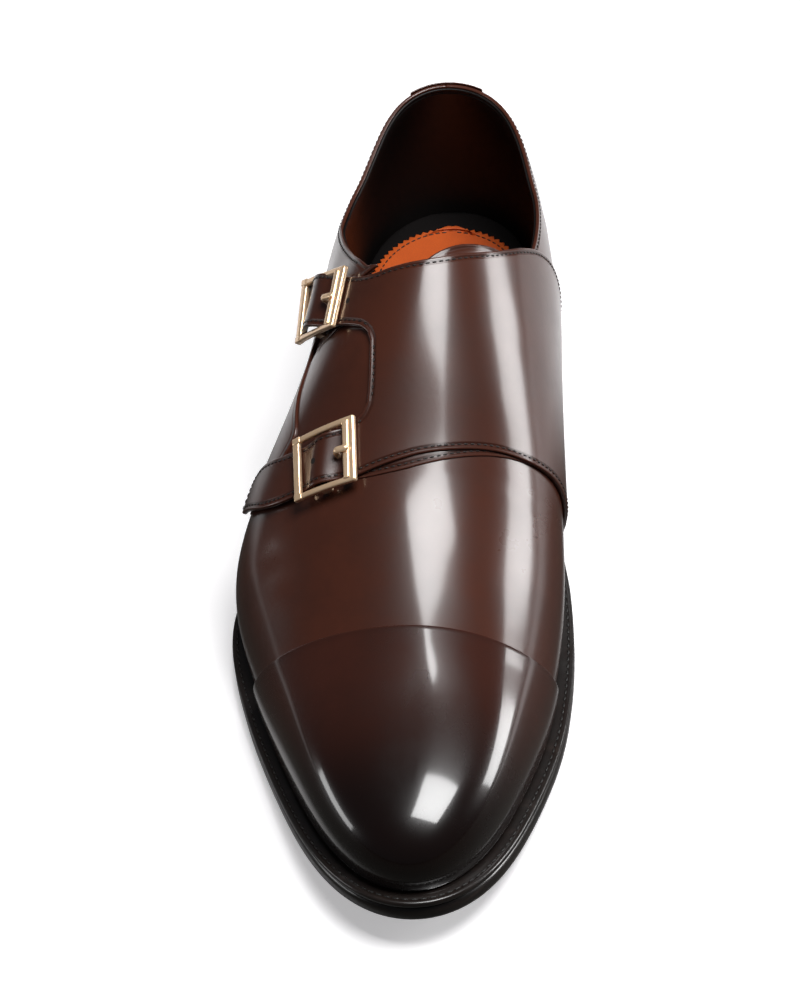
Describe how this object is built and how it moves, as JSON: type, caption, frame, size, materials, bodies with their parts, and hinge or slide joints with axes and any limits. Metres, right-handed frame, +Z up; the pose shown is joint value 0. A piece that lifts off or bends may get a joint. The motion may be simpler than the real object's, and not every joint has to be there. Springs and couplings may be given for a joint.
{
  "type": "monk strap shoe",
  "caption": "Leather dress shoe for the right foot with a straight toe cap, buckled straps over the instep and a stacked heel.",
  "frame": {"origin": "on the floor under the middle of the shoe", "axes": "+Z up, +Y from toe to heel, +X towards the wearer's inner side"},
  "size_m": [0.1084, 0.296, 0.1117],
  "materials": {
    "upper_leather": "polished dark brown calf, soft gloss",
    "cap_leather": "mirror polished dark brown calf",
    "lining_leather": "matt very dark brown lining leather",
    "sock_leather": "satin orange-tan sock leather",
    "sole_leather": "waxed near-black sole edge",
    "heel_rubber": "matt black rubber",
    "stitch_thread": "waxed dark brown thread",
    "buckle_metal": "polished pale gold plate"
  },
  "bodies": {
    "root": {"outsole": "sole_leather", "welt": "sole_leather", "heel_stack": "sole_leather", "top_lift": "heel_rubber", "insole": "sock_leather", "upper": "upper_leather", "toe_cap": "cap_leather", "tongue": "upper_leather", "strap_panel": "upper_leather", "buckle_front": "buckle_metal", "buckle_rear": "buckle_metal", "prong_front": "buckle_metal", "prong_rear": "buckle_metal"}
  },
  "joints": []
}
